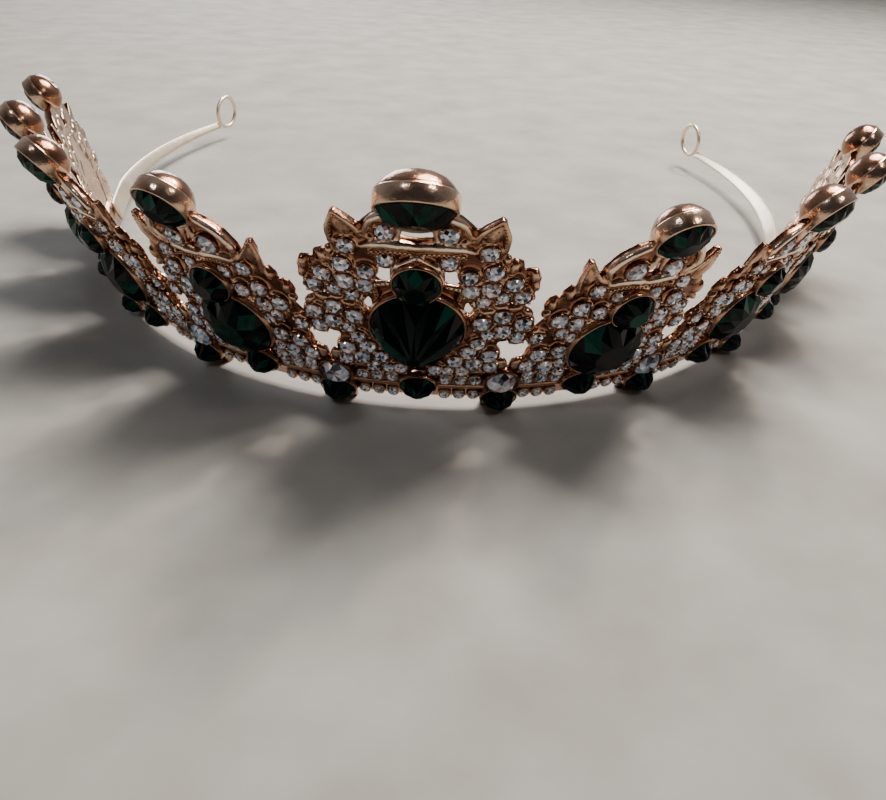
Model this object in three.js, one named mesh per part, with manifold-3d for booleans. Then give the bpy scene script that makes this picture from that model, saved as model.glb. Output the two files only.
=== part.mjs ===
// A baroque tiara of nine openwork motifs, cast in rose-gold alloy and set with green stones.
// It is a horseshoe that leans outwards, standing on the feet of its base band.
// Millimetres, +Z up, +X to the wearer's left, -Y to the front. The origin is on the floor, at the
// middle of the footprint.
//
// The wall is a curved sheet with three coordinates:
//   s    the distance along the foot of the wall, 0 at the front and positive towards +X
//   h    the distance up the wall from its foot
//   off  the distance out of the wall's back face, towards the viewer in front
import * as THREE from "three";
import { mergeVertices } from "three/addons/utils/BufferGeometryUtils.js";
import { TessellateModifier } from "three/addons/modifiers/TessellateModifier.js";
import Module from "manifold-3d";

// ---- Driving dimensions -------------------------------------------------------------------

// The wall
const MOTIF_PITCH = 22; // from one motif to the next, along the foot
const SIDE_MOTIFS = 4; // motifs on each side of the front one
const ARM_TAIL = 2.4; // band past the outer edge of the last motif
const FRONT_RADIUS = 59; // bend of the foot line at the front
const END_RADIUS = 240; // bend of the foot line at the ends of the arms
const FOOT_LEAN = 20.5; // degrees that the wall leans outwards at its foot
const LEAN_GAIN = 0.11; // further degrees of lean for each millimetre up
const FOOT_LIFT = 0.9; // height of the foot line over the floor
const AXIS_SPLAY = 0.124; // tilt of a motif's axis along the wall, as a slope, per motif

// The base band
const BAND_FOOT = 1.3; // lower edge of the band, up the wall
const BAND_TOP = 6.6; // upper edge of the band, up the wall
const BAND_THICK = 1.4;
const PAD_WIDTH = 4.2; // pads under the stones that stand between two motifs
const PAD_REACH = 2.6; // how far a pad reaches down from the band, before it is cut flat

// The castings
const CAST_THICK = 1.3;
const FRONT_HEIGHT = 34; // top of the front casting's arms, up the wall
const SIDE_HEIGHT = 30; // top of a side casting's arms, up the wall
const OUTER_SCALE = [1, 1, 0.92, 0.87, 0.83]; // height of each motif's casting against the first

// The stones: width across, places up the wall, and shares of the width
const BIG_FRONT_WIDTH = 12;
const BIG_SIDE_WIDTH = 10.8;
const BIG_FRONT_AT = 16.9;
const SMALL_WIDTH = 5.8;
const BASE_WIDTH = 5;
const BASE_TALL = 3.8; // the base stones are ovals that lie on their sides
const BASE_AT = 4.6;
const BETWEEN_AT = 2.3;
const CROWN_SHARE = 0.3; // height of a crown against the stone's width
const TABLE_SHARE = 0.32; // width of a table against the stone's width
const GIRDLE_THICK = 0.7;

// The cups that hold the top stones
const FRONT_CUP_RADIUS = 4.8;
const SIDE_CUP_RADIUS = 3.8;
const FRONT_CUP_TILT = 34; // degrees that the front cup looks down, past the wall's own lean
const SIDE_CUP_TILT = 14;
const CUP_WALL = 0.45;
const CUP_DEPTH = 4.4;
const CUP_SEAT = 0.6; // depth of the stone's seat below the rim
const CUP_FRONT = 2.7; // how far the rim stands out of the wall's back face

// The side strips and their loops
const STRIP_LENGTH = 69;
const STRIP_RADIUS = 116; // bend of a strip, inwards
const STRIP_ROOT = 4; // width of a strip at its root
const STRIP_TIP = 1.8; // width of a strip at its tip
const STRIP_THICK = 0.7;
const STRIP_LAP = 7; // how far a strip laps behind the band
const STRIP_AT = 3.9; // middle of a strip, up the wall
const STRIP_LEAN = 38; // degrees that a strip leans outwards, once it has left the wall
const STRIP_TURN = 14; // length over which it turns to that lean
const LOOP_RADIUS = 4; // to the middle of the wire
const LOOP_WIRE = 1.1; // wire diameter
const LOOP_RAISE = 3; // middle of the loop over the middle of the strip

// Clearances and fineness
const SOLDER_GAP = 0.12; // between two pieces that are soldered together
const STONE_GAP = 0.12; // between a stone and its seat
const LONGEST_EDGE = 9; // of a bent piece's facets
const STONE_SIDES = 8;
const CUP_SIDES = 14;
const WIRE_SIDES = 6;
const RING_STEPS = 18;
const BAND_STEP = 5.5;
const STRIP_STEPS = 12;
const SPLIT_ROUNDS = 40; // enough for every long edge to be split until it is short

// ---- Materials ----------------------------------------------------------------------------

const metal = (color, roughness) => () =>
  new THREE.MeshStandardMaterial({ color, roughness, metalness: 1 });
const roseGold = metal(0xc98a5e, 0.28);
const paleGold = metal(0xe6d3bd, 0.3);
const emerald = () =>
  new THREE.MeshStandardMaterial({ color: 0x06382c, roughness: 0.08, flatShading: true });

// ---- The wall -----------------------------------------------------------------------------

const ARM_LENGTH = MOTIF_PITCH * (SIDE_MOTIFS + 0.5) + ARM_TAIL;
const SIMPSON_STEPS = 40;

// Curvature of the foot line: it eases from the front's bend to the ends' bend, then the strips'.
function footCurvature(s) {
  if (Math.abs(s) > ARM_LENGTH) return 1 / STRIP_RADIUS;
  const share = (s / ARM_LENGTH) ** 2;
  return (1 - share) / FRONT_RADIUS + share / END_RADIUS;
}

// Heading of the foot line, in radians from +X.
function footHeading(s) {
  const reach = Math.min(Math.abs(s), ARM_LENGTH);
  const fade = (1 / END_RADIUS - 1 / FRONT_RADIUS) / ARM_LENGTH ** 2;
  const turn = reach / FRONT_RADIUS + (fade * reach ** 3) / 3;
  return Math.sign(s) * (turn + (Math.abs(s) - reach) / STRIP_RADIUS);
}

// Point of the foot line in plan, by Simpson's rule on its heading.
function footPoint(s) {
  const step = s / SIMPSON_STEPS;
  let x = 0;
  let y = 0;
  for (let i = 0; i <= SIMPSON_STEPS; i++) {
    const weight = i === 0 || i === SIMPSON_STEPS ? 1 : i % 2 ? 4 : 2;
    x += (weight * Math.cos(footHeading(i * step)) * step) / 3;
    y += (weight * Math.sin(footHeading(i * step)) * step) / 3;
  }
  return new THREE.Vector2(x, y);
}

const leanAt = (h) => THREE.MathUtils.degToRad(FOOT_LEAN + LEAN_GAIN * h);

// How far the wall stands out of its foot line at a height, and how high it is there.
function wallProfile(h) {
  const gain = THREE.MathUtils.degToRad(LEAN_GAIN);
  return {
    out: (Math.cos(leanAt(0)) - Math.cos(leanAt(h))) / gain,
    up: FOOT_LIFT + (Math.sin(leanAt(h)) - Math.sin(leanAt(0))) / gain,
  };
}

// How much longer a turn of the wall is at a height than at its foot.
const spreadAt = (s, h) => 1 + wallProfile(h).out * footCurvature(s);

function onWall(s, h, off) {
  const { out, up } = wallProfile(h);
  const lean = leanAt(h);
  const heading = footHeading(s);
  const reach = out + off * Math.cos(lean);
  const foot = footPoint(s);
  return new THREE.Vector3(
    foot.x + reach * Math.sin(heading),
    foot.y - reach * Math.cos(heading),
    up - off * Math.sin(lean),
  );
}

// A strip follows the wall at its root and leans further out past the arm's end.
function onStrip(side, along, h, off) {
  const past = Math.min(1, Math.max(0, along) / STRIP_TURN);
  const turned = past ** 2 * (3 - 2 * past);
  const lean = THREE.MathUtils.lerp(leanAt(STRIP_AT), THREE.MathUtils.degToRad(STRIP_LEAN), turned);
  const s = side * (ARM_LENGTH + along);
  const heading = footHeading(s);
  const foot = footPoint(s);
  const axis = wallProfile(STRIP_AT);
  const rise = h - STRIP_AT;
  const reach = axis.out + rise * Math.sin(lean) + off * Math.cos(lean);
  return new THREE.Vector3(
    foot.x + reach * Math.sin(heading),
    foot.y - reach * Math.cos(heading),
    axis.up + rise * Math.cos(lean) - off * Math.sin(lean),
  );
}

// The motifs fan out: each one's axis, and the seam between two, tilts away from the front.
const fannedOut = (place, h) => place * (MOTIF_PITCH + AXIS_SPLAY * h);

// Distance along the foot for a place on a motif: u to the right of the motif's axis, at h.
function alongFoot(motif, u, h) {
  const axis = fannedOut(motif, h);
  return axis + u / spreadAt(axis, h);
}

// Half the width that a motif may take at a height, up to the seam with its neighbour.
function seamAt(motif, h) {
  const half = fannedOut(0.5, h);
  return half * spreadAt(fannedOut(motif, h), h) - SOLDER_GAP / 2;
}

// Position and turn of a round piece on the wall. Its axis points out of the wall, and looks
// further down by the tilt, in degrees.
function placeOnWall(mesh, s, h, off, tilt = 0) {
  const lean = leanAt(h) + THREE.MathUtils.degToRad(tilt);
  const heading = footHeading(s);
  const right = new THREE.Vector3(Math.cos(heading), Math.sin(heading), 0);
  const outward = new THREE.Vector3(
    Math.sin(heading) * Math.cos(lean),
    -Math.cos(heading) * Math.cos(lean),
    -Math.sin(lean),
  );
  const up = new THREE.Vector3().crossVectors(outward, right);
  const turn = new THREE.Matrix4().makeBasis(right, outward, up.negate());
  mesh.quaternion.setFromRotationMatrix(turn);
  mesh.position.copy(onWall(s, h, off));
  return mesh;
}

// ---- Solids -------------------------------------------------------------------------------

const wasm = await Module();
wasm.setup();

function merged(geometry) {
  const bare = geometry.clone();
  bare.deleteAttribute("normal");
  bare.deleteAttribute("uv");
  return mergeVertices(bare, 1e-4);
}

function solidOf(geometry) {
  const bare = merged(geometry);
  return new wasm.Manifold(
    new wasm.Mesh({
      numProp: 3,
      vertProperties: bare.attributes.position.array,
      triVerts: new Uint32Array(bare.index.array),
    }),
  );
}

function geometryOf(solid) {
  const mesh = solid.getMesh();
  const geometry = new THREE.BufferGeometry();
  geometry.setAttribute("position", new THREE.BufferAttribute(mesh.vertProperties, 3));
  geometry.setIndex(new THREE.BufferAttribute(mesh.triVerts, 1));
  const faceted = geometry.toNonIndexed();
  faceted.computeVertexNormals();
  return faceted;
}

// A flat outline, given a thickness and bent by a function of (x, y, thickness).
function bentPlate(shape, thickness, bend, curveSteps = 3) {
  const flat = new THREE.ExtrudeGeometry(shape, {
    depth: thickness,
    bevelEnabled: false,
    curveSegments: curveSteps,
  });
  const split = new TessellateModifier(LONGEST_EDGE, SPLIT_ROUNDS).modify(flat);
  const place = split.attributes.position;
  for (let i = 0; i < place.count; i++) {
    const p = bend(place.getX(i), place.getY(i), place.getZ(i));
    place.setXYZ(i, p.x, p.y, p.z);
  }
  split.computeVertexNormals();
  return split;
}

// A block of the wall between two places along it and two heights, bent in short steps.
function bentBlock([s0, s1], [h0, h1], thickness, steps, bend) {
  const block = new THREE.BoxGeometry(s1 - s0, h1 - h0, thickness, steps, 1, 1);
  block.translate((s0 + s1) / 2, (h0 + h1) / 2, thickness / 2);
  const place = block.attributes.position;
  for (let i = 0; i < place.count; i++) {
    const p = bend(place.getX(i), place.getY(i), place.getZ(i));
    place.setXYZ(i, p.x, p.y, p.z);
  }
  return block;
}

// ---- Base band ----------------------------------------------------------------------------

const betweenPlaces = [];
for (let k = -SIDE_MOTIFS; k < SIDE_MOTIFS; k++) betweenPlaces.push((k + 0.5) * MOTIF_PITCH);

// A plain strip with a pad under every stone between two motifs. The pads are cut flat at the
// floor, and the whole tiara stands on them.
function baseBand() {
  const steps = Math.ceil((2 * ARM_LENGTH) / BAND_STEP);
  let band = solidOf(
    bentBlock([-ARM_LENGTH, ARM_LENGTH], [BAND_FOOT, BAND_TOP], BAND_THICK, steps, onWall),
  );
  const padSpan = [BAND_FOOT - PAD_REACH, (BAND_FOOT + BAND_TOP) / 2];
  for (const s of betweenPlaces) {
    const reach = [s - PAD_WIDTH / 2, s + PAD_WIDTH / 2];
    band = band.add(solidOf(bentBlock(reach, padSpan, BAND_THICK, 1, onWall)));
  }
  const size = 4 * ARM_LENGTH;
  const floor = new THREE.BoxGeometry(size, size, size).translate(0, 0, -size / 2);
  return geometryOf(band.subtract(solidOf(floor)));
}

// ---- Castings -----------------------------------------------------------------------------

// The right half of a casting's outline, as [u, h] pairs from the bottom to the top.
// Heights between the band and the arms' top are shares, so they follow both sizes.
function halfOutline(motif, height) {
  const scaled = (share) => BAND_TOP + SOLDER_GAP + share * (height - BAND_TOP - SOLDER_GAP);
  const seam = (share, inset = 0) => [seamAt(motif, scaled(share)) - inset, scaled(share)];
  const at = (u, share) => [u * MOTIF_PITCH, scaled(share)];
  const notch = 1.5; // half the opening between two motifs
  if (motif === 0)
    return [
      seam(0),
      seam(0.12),
      seam(0.14, notch),
      seam(0.26, notch),
      seam(0.29, 0),
      seam(0.37),
      at(0.63, 0.46),
      at(0.56, 0.51),
      at(0.5, 0.53),
      at(0.6, 0.57),
      at(0.68, 0.66),
      at(0.65, 0.72),
      at(0.48, 0.79),
      at(0.47, 0.93),
      at(0.44, 0.96),
      at(0.32, 0.89),
      at(0.26, 0.93),
      at(0.16, 1.0),
    ];
  return [
    seam(0),
    seam(0.17),
    seam(0.19, notch),
    seam(0.34, notch),
    seam(0.38, 0),
    seam(0.43, 0),
    at(0.54, 0.46),
    at(0.52, 0.55),
    at(0.44, 0.63),
    at(0.42, 0.86),
    at(0.4, 0.87),
    at(0.32, 0.76),
    at(0.28, 0.83),
    at(0.2, 0.95),
    at(0.1, 1.0),
  ];
}

function castingShape(motif, height) {
  const right = halfOutline(motif, height);
  const left = right.map(([u, h]) => [-u, h]).reverse();
  const shape = new THREE.Shape([...right, ...left].map(([u, h]) => new THREE.Vector2(u, h)));
  const span = height - BAND_TOP;
  const hole = (u, share, wide, tall) => {
    const path = new THREE.Path();
    path.absellipse(u * MOTIF_PITCH, BAND_TOP + share * span, wide / 2, tall / 2, 0, 2 * Math.PI);
    shape.holes.push(path);
  };
  if (motif === 0) {
    hole(0, 0.905, 5, 1.3);
    for (const side of [-1, 1]) hole(side * 0.17, 0.7, 2, 3.2);
  } else {
    hole(0, 0.81, 3.4, 2.6);
  }
  return shape;
}

// The closed cup of a top stone, about its own axis, with the rim at y = 0.
function cupProfile(radius) {
  const inner = radius - CUP_WALL;
  return [
    [0, -CUP_DEPTH],
    [radius * 0.5, -CUP_DEPTH * 0.94],
    [radius * 0.86, -CUP_DEPTH * 0.68],
    [radius, -CUP_DEPTH * 0.35],
    [radius, 0],
    [inner, 0],
    [inner, -CUP_SEAT],
    [0, -CUP_SEAT],
  ].map(([r, y]) => new THREE.Vector2(r, y));
}

function seatProfile(radius) {
  const inner = radius - CUP_WALL;
  return [
    [0, -CUP_SEAT],
    [inner, -CUP_SEAT],
    [inner, CUP_DEPTH],
    [0, CUP_DEPTH],
  ].map(([r, y]) => new THREE.Vector2(r, y));
}

function castingHeight(motif) {
  if (motif === 0) return FRONT_HEIGHT;
  return BAND_TOP + (SIDE_HEIGHT - BAND_TOP) * OUTER_SCALE[Math.abs(motif)];
}

const cupRadius = (motif) => (motif === 0 ? FRONT_CUP_RADIUS : SIDE_CUP_RADIUS);
const cupTilt = (motif) => (motif === 0 ? FRONT_CUP_TILT : SIDE_CUP_TILT);
// The cup's lower edge sinks into the arms' top by this much.
const CUP_SINK = 2.1;
const cupAt = (motif) => castingHeight(motif) + cupRadius(motif) - CUP_SINK;

// Places a round piece on the axis of a motif's cup, by its distance from the wall's back face.
function placeOnCup(mesh, motif, off) {
  const h = cupAt(motif);
  placeOnWall(mesh, alongFoot(motif, 0, h), h, CUP_FRONT, cupTilt(motif));
  const axis = new THREE.Vector3(0, off - CUP_FRONT, 0).applyQuaternion(mesh.quaternion);
  mesh.position.add(axis);
}

function casting(motif) {
  const height = castingHeight(motif);
  const shape = castingShape(motif, height);
  const plate = bentPlate(shape, CAST_THICK, (u, h, off) => onWall(alongFoot(motif, u, h), h, off));
  const put = (profile) => {
    const lathe = new THREE.Mesh(new THREE.LatheGeometry(profile, CUP_SIDES));
    placeOnCup(lathe, motif, CUP_FRONT);
    lathe.updateMatrix();
    return solidOf(lathe.geometry.applyMatrix4(lathe.matrix));
  };
  const radius = cupRadius(motif);
  const joined = solidOf(plate).add(put(cupProfile(radius)));
  return geometryOf(joined.subtract(put(seatProfile(radius))));
}

// ---- Stones -------------------------------------------------------------------------------

// A round cut stone with a flat back at y = 0, a straight girdle, a crown and a table.
function stoneGeometry(width, tall = width) {
  const radius = width / 2;
  const crown = width * CROWN_SHARE;
  const table = radius * TABLE_SHARE;
  const profile = [
    [0, 0],
    [radius, 0],
    [radius, GIRDLE_THICK],
    [(radius + table) / 2 + radius * 0.06, GIRDLE_THICK + crown * 0.62],
    [table, GIRDLE_THICK + crown],
    [0, GIRDLE_THICK + crown],
  ].map(([r, y]) => new THREE.Vector2(r, y));
  return new THREE.LatheGeometry(profile, STONE_SIDES).scale(1, 1, tall / width);
}

const baseStoneGeometry = () => stoneGeometry(BASE_WIDTH, BASE_TALL);

// ---- Strips and loops ---------------------------------------------------------------------

// A springy strip, soldered behind the end of the band, that narrows towards its loop.
function sideStrip(side) {
  const span = [-STRIP_LAP, STRIP_LENGTH];
  const back = -SOLDER_GAP - STRIP_THICK;
  const bent = bentBlock(span, [-1, 1], STRIP_THICK, STRIP_STEPS, (along, across, thick) => {
    const share = Math.max(0, along) / STRIP_LENGTH;
    const width = STRIP_ROOT + (STRIP_TIP - STRIP_ROOT) * share;
    return onStrip(side, along, STRIP_AT + (across * width) / 2, back + thick);
  });
  return geometryOf(side > 0 ? solidOf(bent) : solidOf(flipped(bent)));
}

// Faces turned over, for a piece that was mirrored point by point.
function flipped(geometry) {
  const out = merged(geometry);
  const order = out.index.array;
  for (let i = 0; i < order.length; i += 3) [order[i], order[i + 1]] = [order[i + 1], order[i]];
  return out;
}

function pinLoop(side) {
  const ring = new THREE.TorusGeometry(LOOP_RADIUS, LOOP_WIRE / 2, WIRE_SIDES, RING_STEPS);
  const loop = new THREE.Mesh(ring, paleGold());
  // The strip meets the lower part of the ring, where the ring is this far from its middle.
  const outer = LOOP_RADIUS + LOOP_WIRE / 2;
  const reach = Math.sqrt(outer ** 2 - (LOOP_RAISE - STRIP_TIP / 2) ** 2);
  const along = STRIP_LENGTH + reach + SOLDER_GAP;
  const middle = -SOLDER_GAP - STRIP_THICK / 2;
  loop.position.copy(onStrip(side, along, STRIP_AT, middle));
  loop.position.z += LOOP_RAISE;
  loop.rotation.set(Math.PI / 2, footHeading(side * (ARM_LENGTH + along)), 0, "XYZ");
  return loop;
}

// ---- Assembly -----------------------------------------------------------------------------

const tiara = new THREE.Group();

function add(mesh, name) {
  mesh.name = name;
  tiara.add(mesh);
  return mesh;
}

function motifName(motif) {
  if (motif === 0) return "front";
  return (motif > 0 ? "left_" : "right_") + Math.abs(motif);
}

add(new THREE.Mesh(baseBand(), roseGold()), "base_band");

for (let motif = -SIDE_MOTIFS; motif <= SIDE_MOTIFS; motif++) {
  const name = motifName(motif);
  const scale = OUTER_SCALE[Math.abs(motif)];
  const front = motif === 0;
  add(new THREE.Mesh(casting(motif), roseGold()), name + "_casting");

  const stone = (label, geometry, h, off) => {
    const mesh = add(new THREE.Mesh(geometry, emerald()), name + label);
    placeOnWall(mesh, alongFoot(motif, 0, h), h, off);
  };
  const onFace = CAST_THICK + STONE_GAP;
  const bigWidth = (front ? BIG_FRONT_WIDTH : BIG_SIDE_WIDTH) * scale;
  const overBase = BASE_AT + BASE_TALL / 2 + STONE_GAP + bigWidth / 2;
  const bigAt = front ? BIG_FRONT_AT : overBase;
  stone("_big_stone", stoneGeometry(bigWidth), bigAt, onFace);
  const smallWidth = SMALL_WIDTH * scale;
  const smallAt = bigAt + (bigWidth + smallWidth) / 2 + STONE_GAP;
  stone("_small_stone", stoneGeometry(smallWidth), smallAt, onFace);

  const baseStone = add(new THREE.Mesh(baseStoneGeometry(), emerald()), name + "_base_stone");
  placeOnWall(baseStone, motif * MOTIF_PITCH, BASE_AT, BAND_THICK + STONE_GAP);
  const inCup = 2 * (cupRadius(motif) - CUP_WALL - STONE_GAP);
  const topStone = add(new THREE.Mesh(stoneGeometry(inCup), emerald()), name + "_top_stone");
  placeOnCup(topStone, motif, CUP_FRONT - CUP_SEAT + STONE_GAP);
}

betweenPlaces.forEach((s, i) => {
  const mesh = new THREE.Mesh(baseStoneGeometry(), emerald());
  placeOnWall(add(mesh, "between_stone_" + (i + 1)), s, BETWEEN_AT, BAND_THICK + STONE_GAP);
});

for (const side of [-1, 1]) {
  const hand = side > 0 ? "left" : "right";
  add(new THREE.Mesh(sideStrip(side), paleGold()), hand + "_strip");
  add(pinLoop(side), hand + "_loop");
}

// The footprint's middle goes to the origin.
tiara.updateMatrixWorld(true);
const box = new THREE.Box3().setFromObject(tiara, true);
tiara.position.y = -(box.min.y + box.max.y) / 2;

export default tiara;
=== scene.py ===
# %% [markdown]
# # A rose-gold tiara set with green stones
# This lesson builds the looks of a baroque tiara around its finished metal frame. The frame
# gives the sizes and the places. Blender adds what a jeweller's hand adds: openwork, seats for
# the stones, fine beading, cut facets, and the finish of the plating.
#
# The frame comes in first, because every other piece takes its place from it.

# %% Bring in the frame
import math

import bmesh
import bpy
import numpy as np
from mathutils import Matrix, Vector


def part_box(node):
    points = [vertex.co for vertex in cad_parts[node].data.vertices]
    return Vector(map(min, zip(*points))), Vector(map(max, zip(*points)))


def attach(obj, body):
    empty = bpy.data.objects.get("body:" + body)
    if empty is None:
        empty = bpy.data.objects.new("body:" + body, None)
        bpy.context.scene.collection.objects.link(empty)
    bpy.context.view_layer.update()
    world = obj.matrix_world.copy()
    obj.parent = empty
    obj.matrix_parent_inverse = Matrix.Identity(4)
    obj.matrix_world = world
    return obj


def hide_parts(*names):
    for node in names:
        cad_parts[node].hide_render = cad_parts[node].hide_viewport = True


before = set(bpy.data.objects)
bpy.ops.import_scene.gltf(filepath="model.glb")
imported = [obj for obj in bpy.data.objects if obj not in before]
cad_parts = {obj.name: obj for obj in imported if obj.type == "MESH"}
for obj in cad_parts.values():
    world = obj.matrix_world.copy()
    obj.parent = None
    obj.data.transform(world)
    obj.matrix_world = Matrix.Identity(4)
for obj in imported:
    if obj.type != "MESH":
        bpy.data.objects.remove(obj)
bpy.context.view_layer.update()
BODY = "root"
MM = 0.001
print("nodes in the frame:", len(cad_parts))

# %% [markdown]
# ## The wall that everything sits on
# A tiara is cast flat and then bent. So every piece here is drawn flat, in millimetres: how far
# along the foot it is, how far up the wall, and how far out of the wall's back face. One rule
# then bends the flat drawing round the head, and leans it outwards. The same rule made the
# frame, so the two always fit.

# %% Sizes of the wall
PITCH = 22
SIDE_MOTIFS = 4
ARM_LENGTH = PITCH * (SIDE_MOTIFS + 0.5) + 2.4
FRONT_RADIUS = 59
END_RADIUS = 240
FOOT_LEAN = 20.5
LEAN_GAIN = math.radians(0.11)
FOOT_LIFT = 0.9
AXIS_SPLAY = 0.124
BAND_TOP = 6.6
BAND_THICK = 1.4
STRIP_RADIUS = 116
MOTIFS = range(-SIDE_MOTIFS, SIDE_MOTIFS + 1)
BETWEEN_MOTIFS = [(k - SIDE_MOTIFS + 0.5) * PITCH for k in range(2 * SIDE_MOTIFS)]


def heading_at(s):
    s = np.asarray(s, float)
    reach = np.minimum(np.abs(s), ARM_LENGTH)
    fade = (1 / END_RADIUS - 1 / FRONT_RADIUS) / ARM_LENGTH**2
    past = (np.abs(s) - reach) / STRIP_RADIUS
    return np.sign(s) * (reach / FRONT_RADIUS + fade * reach**3 / 3 + past)


def curvature_at(s):
    s = np.abs(np.asarray(s, float))
    share = (s / ARM_LENGTH) ** 2
    along_arm = (1 - share) / FRONT_RADIUS + share / END_RADIUS
    return np.where(s > ARM_LENGTH, 1 / STRIP_RADIUS, along_arm)


# The foot line is walked in short steps, with the heading in the middle of each step.
FOOT_S = np.linspace(0, 200, 4001)
STEP = FOOT_S[1]
HEADINGS = heading_at((FOOT_S[1:] + FOOT_S[:-1]) / 2)
FOOT_X = np.concatenate([[0], np.cumsum(np.cos(HEADINGS)) * STEP])
FOOT_Y = np.concatenate([[0], np.cumsum(np.sin(HEADINGS)) * STEP])


def foot_at(s):
    s = np.asarray(s, float)
    x = np.interp(np.abs(s), FOOT_S, FOOT_X) * np.sign(s)
    return x, np.interp(np.abs(s), FOOT_S, FOOT_Y)


def lean_at(h):
    return math.radians(FOOT_LEAN) + LEAN_GAIN * np.asarray(h, float)


def profile_at(h):
    first = math.radians(FOOT_LEAN)
    out = (math.cos(first) - np.cos(lean_at(h))) / LEAN_GAIN
    up = FOOT_LIFT + (np.sin(lean_at(h)) - math.sin(first)) / LEAN_GAIN
    return out, up


def on_wall(s, h, off):
    out, up = profile_at(h)
    turn, lean = heading_at(s), lean_at(h)
    x, y = foot_at(s)
    reach = out + off * np.cos(lean)
    return np.stack(
        np.broadcast_arrays(
            x + reach * np.sin(turn), y - reach * np.cos(turn), up - off * np.sin(lean)
        ),
        axis=-1,
    )


# The frame's footprint is centred on the origin, so the wall moves by one length along Y. The
# band's front edge gives it: the frame's band is bent in steps, and this is its front corner.
BAND_STEP = 5.5
BAND_STEPS = math.ceil(2 * ARM_LENGTH / BAND_STEP)
front_corner = on_wall(ARM_LENGTH / BAND_STEPS, BAND_TOP, BAND_THICK)
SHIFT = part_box("base_band")[0][1] / MM - front_corner[1]
print("the wall moves along Y by", round(SHIFT, 2), "mm")


def fanned(place, h):
    return place * (PITCH + AXIS_SPLAY * h)


def along_foot(motif, u, h):
    axis = fanned(motif, h)
    return axis + u / (1 + profile_at(h)[0] * curvature_at(axis))


def wall_matrix(s, h, off, tilt=0.0):
    """Place on the wall, in metres: X runs along it, Y up it and Z out of it."""
    lean = float(lean_at(h)) + math.radians(tilt)
    turn = float(heading_at(s))
    right = Vector((math.cos(turn), math.sin(turn), 0))
    out = Vector((math.sin(turn), -math.cos(turn), 0)) * math.cos(lean)
    out.z = -math.sin(lean)
    up = out.cross(right)
    place = Vector([float(c) for c in on_wall(s, h, off)]) + Vector((0, SHIFT, 0))
    matrix = Matrix((right, up, out)).transposed().to_4x4()
    matrix.translation = place * MM
    return matrix


# %% [markdown]
# ## The camera and the light
# The camera stands a little above the front of the tiara and looks down on it, so its wall
# leans towards the lens. A large soft light behind the tiara gives soft shadows to the front and
# bright upper edges on the metal, and a small warm one beside it adds sparks. A wide cool light
# comes from further back. Two weak, small lights at the front let the stones show.

# %% Camera
CAMERA_AT = Vector((5.87, -95.99 + SHIFT, 60.87)) * MM
YAW, PITCH_DOWN, ROLL = 0.024, 0.563, 0.055
ahead = Vector((-math.sin(YAW), math.cos(YAW), 0)) * math.cos(PITCH_DOWN)
ahead.z = -math.sin(PITCH_DOWN)
level = Vector((math.cos(YAW), math.sin(YAW), 0))
above = level.cross(ahead)
right = math.cos(ROLL) * level + math.sin(ROLL) * above
above = math.cos(ROLL) * above - math.sin(ROLL) * level
camera = bpy.data.objects.new("camera", bpy.data.cameras.new("camera"))
bpy.context.collection.objects.link(camera)
turn = Matrix((right, above, -ahead)).transposed().to_4x4()
turn.translation = CAMERA_AT
camera.matrix_world = turn
camera.data.sensor_width = 36
camera.data.lens = 31.63
camera.data.clip_start = 0.005
bpy.context.scene.camera = camera
print("camera", round(CAMERA_AT.z / MM, 1), "mm over the floor, lens", round(camera.data.lens, 1), "mm")


# %% Lights and sky
def soft_light(name, place, aim, size, power, colour):
    lamp = bpy.data.lights.new(name, "AREA")
    lamp.size = size
    lamp.energy = power
    lamp.color = colour
    holder = bpy.data.objects.new(name, lamp)
    bpy.context.collection.objects.link(holder)
    holder.location = place
    holder.rotation_euler = (Vector(aim) - Vector(place)).to_track_quat("-Z", "Y").to_euler()
    print(name, power, "W")


soft_light("main_window", (0.18, 0.28, 0.60), (0, 0.03, 0.01), 0.34, 10.0, (1.0, 0.97, 0.92))
soft_light("low_sun", (0.24, 0.38, 0.52), (0, 0, 0.02), 0.06, 2.6, (1.0, 0.90, 0.76))
soft_light("far_window", (-0.25, 0.70, 0.22), (0, 0, 0.02), 0.30, 2.6, (0.90, 0.95, 1.0))
soft_light("glint_left", (-0.22, -0.30, 0.46), (0, 0, 0.02), 0.05, 0.35, (0.88, 0.94, 1.0))
soft_light("glint_right", (0.30, -0.22, 0.40), (0, 0, 0.02), 0.05, 0.35, (1.0, 0.90, 0.84))

# %% [markdown]
# The sky is a plain studio: bright towards the windows at the back, dim towards the front. The
# polished metal and the facets need that contrast, or they look like plastic.

# %% Studio sky
sky = bpy.data.worlds.new("studio")
bpy.context.scene.world = sky
sky.use_nodes = True
sky_nodes, sky_links = sky.node_tree.nodes, sky.node_tree.links
towards = sky_nodes.new("ShaderNodeTexCoord")
split = sky_nodes.new("ShaderNodeSeparateXYZ")
shade = sky_nodes.new("ShaderNodeMapRange")
shade.inputs["From Min"].default_value = -0.6
shade.inputs["From Max"].default_value = 0.9
shade.inputs["To Min"].default_value = 0.05
shade.inputs["To Max"].default_value = 0.42
sky_links.new(towards.outputs["Generated"], split.inputs["Vector"])
sky_links.new(split.outputs["Y"], shade.inputs["Value"])
sky_links.new(shade.outputs["Result"], sky_nodes["Background"].inputs["Strength"])
sky_nodes["Background"].inputs["Color"].default_value = (0.86, 0.90, 0.95, 1)
print("sky from", shade.inputs["To Min"].default_value, "to", shade.inputs["To Max"].default_value)
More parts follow.
